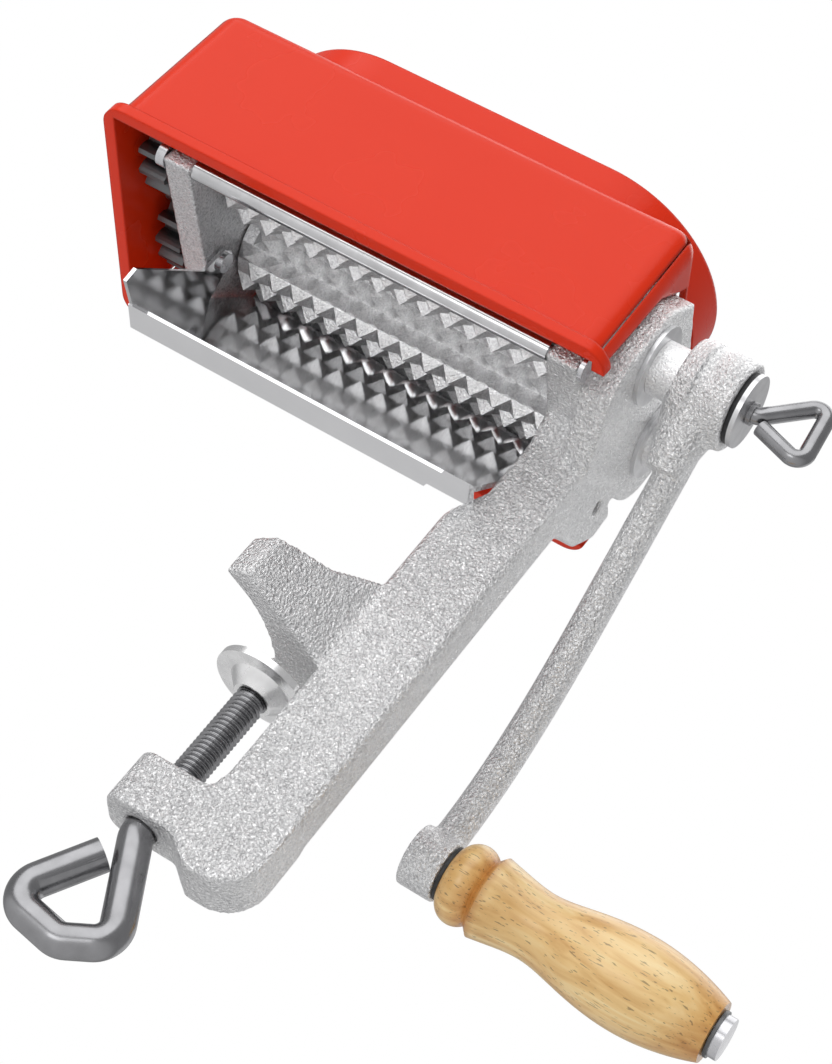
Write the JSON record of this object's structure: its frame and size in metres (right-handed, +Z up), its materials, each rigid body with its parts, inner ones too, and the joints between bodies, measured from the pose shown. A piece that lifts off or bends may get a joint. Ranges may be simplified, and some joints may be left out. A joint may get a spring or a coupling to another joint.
{
  "type": "hand-cranked crumb mill",
  "caption": "Table-clamped hand mill: a crank turns toothed rollers geared together under a lift-off open hopper, over a sloping crumb tray.",
  "frame": {"origin": "on the underside of the upper clamp fork, where it rests on a table top, on the clamp screw's axis", "axes": "+X along the rollers towards the crank, +Y from the flat front wall of the cover to its rear wall, +Z up"},
  "size_m": [0.24, 0.0927, 0.2324],
  "materials": {
    "cast_aluminium": "satin",
    "turned_aluminium": "satin",
    "roller_aluminium": "satin",
    "polished_steel": "gloss",
    "screw_steel": "satin",
    "gear_steel": "satin",
    "mirror_sheet": "gloss",
    "red_plastic": "gloss",
    "varnished_wood": "gloss",
    "black_rubber": "matte"
  },
  "bodies": {
    "frame": {"clamp_frame": "cast_aluminium", "far_plate": "cast_aluminium", "front_tie_rod": "polished_steel", "rear_tie_rod": "polished_steel", "tie_rod_screws": "screw_steel", "crumb_tray": "mirror_sheet", "tray_rivets": "screw_steel", "drive_near_bush": "turned_aluminium", "drive_far_bush": "turned_aluminium", "idle_near_bush": "turned_aluminium", "idle_far_bush": "turned_aluminium"},
    "cover": {"hopper_cover": "red_plastic"},
    "crank": {"drive_roller": "roller_aluminium", "drive_gear": "gear_steel", "drive_gear_clip": "screw_steel", "crank_arm": "cast_aluminium", "handle_washer": "black_rubber", "end_washer": "gear_steel", "handle_bolt": "screw_steel"},
    "idle": {"idle_roller": "roller_aluminium", "idle_gear": "gear_steel", "idle_gear_clip": "screw_steel"},
    "grip": {"handle_grip": "varnished_wood"},
    "retainer": {"hub_disc": "turned_aluminium", "hub_washer": "black_rubber"},
    "thumb": {"thumb_screw": "polished_steel"},
    "pad": {"pressure_pad": "polished_steel"},
    "screw": {"clamp_screw": "polished_steel"}
  },
  "joints": [
    {"name": "crank_turn", "type": "hinge", "parent": "frame", "child": "crank", "pos_m": [0, -0.0206, 0.1086], "axis": [1, 0, 0], "continuous": true},
    {"name": "idle_turn", "type": "hinge", "parent": "frame", "child": "idle", "pos_m": [0, 0.01117, 0.11239], "axis": [1, 0, 0], "continuous": true},
    {"name": "grip_spin", "type": "hinge", "parent": "crank", "child": "grip", "pos_m": [0, 0.03834, -0.00559], "axis": [1, 0, 0], "continuous": true},
    {"name": "cover_lift", "type": "slide", "parent": "frame", "child": "cover", "axis": [0, 0, 1], "range_m": [0, 0.08]},
    {"name": "pad_travel", "type": "slide", "parent": "frame", "child": "pad", "axis": [0, 0, 1], "range_m": [-0.025, 0.0006]},
    {"name": "clamp_turn", "type": "hinge", "parent": "pad", "child": "screw", "pos_m": [0, 0, -0.03], "axis": [0, 0, 1], "range_deg": [-7201, 174]},
    {"name": "retainer_out", "type": "slide", "parent": "crank", "child": "retainer", "axis": [1, 0, 0], "range_m": [0, 0.0141]},
    {"name": "thumb_turn", "type": "hinge", "parent": "retainer", "child": "thumb", "pos_m": [0.06, -0.0206, 0.1086], "axis": [1, 0, 0], "range_deg": [0, 6300]}
  ],
  "couplings": [
    {"joint": "idle_turn", "follows": "crank_turn", "ratio": -1},
    {"joint": "clamp_turn", "follows": "pad_travel", "rad_per_m": 5026.5},
    {"joint": "retainer_out", "follows": "thumb_turn", "m_per_rad": 0.00012732}
  ]
}
